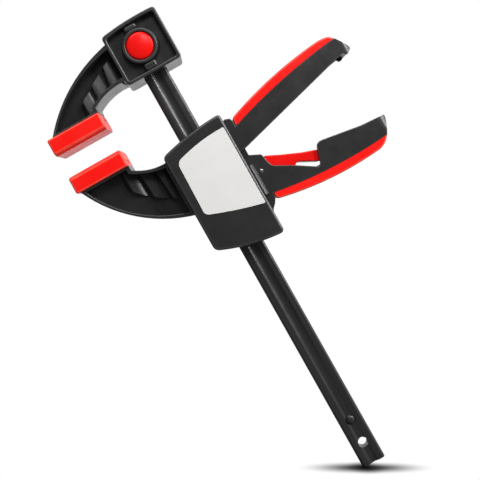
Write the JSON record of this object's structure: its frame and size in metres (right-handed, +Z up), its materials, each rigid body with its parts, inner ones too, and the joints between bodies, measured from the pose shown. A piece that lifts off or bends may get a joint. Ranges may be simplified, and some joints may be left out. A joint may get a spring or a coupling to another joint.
{
  "type": "bar clamp",
  "caption": "One-handed bar clamp with a steel rail, a fixed jaw held by a push button, a sliding jaw, a pump lever and a release lever, and soft red pads and grips.",
  "frame": {"origin": "centre of the fixed pad's clamping face", "axes": "+Z up along the rail towards the head, +X from the pads to the rail and on to the handles, -Y out of the side with the button and the label"},
  "size_m": [0.2078, 0.0393, 0.3444],
  "materials": {
    "black_steel": "black oxide, satin",
    "black_plastic": "fine moulded texture",
    "red_rubber": "smooth soft-touch",
    "red_plastic": "smooth moulded",
    "bright_steel": "turned, bright",
    "plate_steel": "hardened, blanked",
    "spring_steel": "drawn wire",
    "label_film": "printed film, bare"
  },
  "bodies": {
    "rail_and_fixed_jaw": {"rail": "black_steel", "rail_stop_pin": "black_steel", "fixed_jaw_head": "black_plastic", "fixed_pad": "red_rubber", "button_spring": "spring_steel"},
    "button": {"lock_button": "red_plastic", "lock_pin": "bright_steel", "lock_pin_clip": "bright_steel"},
    "moving_jaw": {"housing_frame": "black_plastic", "front_cover": "black_plastic", "rear_cover": "black_plastic", "cover_screws": "bright_steel", "label_plate": "label_film", "moving_pad": "red_rubber", "handle_grip": "red_rubber", "pump_pivot_pin": "bright_steel", "release_pivot_pin": "bright_steel", "drive_spring": "spring_steel", "brake_spring": "spring_steel"},
    "pump": {"pump_lever": "black_plastic", "pump_lever_grip": "red_rubber"},
    "drive": {"drive_plate": "plate_steel"},
    "brake": {"brake_plate": "plate_steel"},
    "release": {"release_lever": "red_plastic"}
  },
  "joints": [
    {"name": "jaw_slide", "type": "slide", "parent": "rail_and_fixed_jaw", "child": "moving_jaw", "axis": [0, 0, 1], "range_m": [-0.134, 0.0159]},
    {"name": "pump_lever_pivot", "type": "hinge", "parent": "moving_jaw", "child": "pump", "pos_m": [0.0515, 0, -0.0548], "axis": [0, 1, 0], "range_deg": [0, 15], "stiffness_Nm_per_rad": 0.15, "springref_deg": -34.38},
    {"name": "drive_plate_slide", "type": "slide", "parent": "moving_jaw", "child": "drive", "axis": [0, 0, 1], "range_m": [-0.0038, 0], "deforming": ["drive_spring"]},
    {"name": "release_lever_pivot", "type": "hinge", "parent": "moving_jaw", "child": "release", "pos_m": [0.0957, 0, -0.07485], "axis": [0, 1, 0], "range_deg": [0, 6.5], "stiffness_Nm_per_rad": 0.08, "springref_deg": -22.92},
    {"name": "brake_plate_tilt", "type": "hinge", "parent": "moving_jaw", "child": "brake", "pos_m": [0.077, 0, -0.07875], "axis": [0, 1, 0], "range_deg": [-6, 0], "deforming": ["brake_spring"]},
    {"name": "button_press", "type": "slide", "parent": "rail_and_fixed_jaw", "child": "button", "axis": [0, 1, 0], "range_m": [0, 0.004], "stiffness_N_per_m": 400, "springref_m": -0.003, "deforming": ["button_spring"]}
  ],
  "couplings": [
    {"joint": "drive_plate_slide", "follows": "pump_lever_pivot", "m_per_rad": -0.0141},
    {"joint": "brake_plate_tilt", "follows": "release_lever_pivot", "ratio": -0.92}
  ]
}
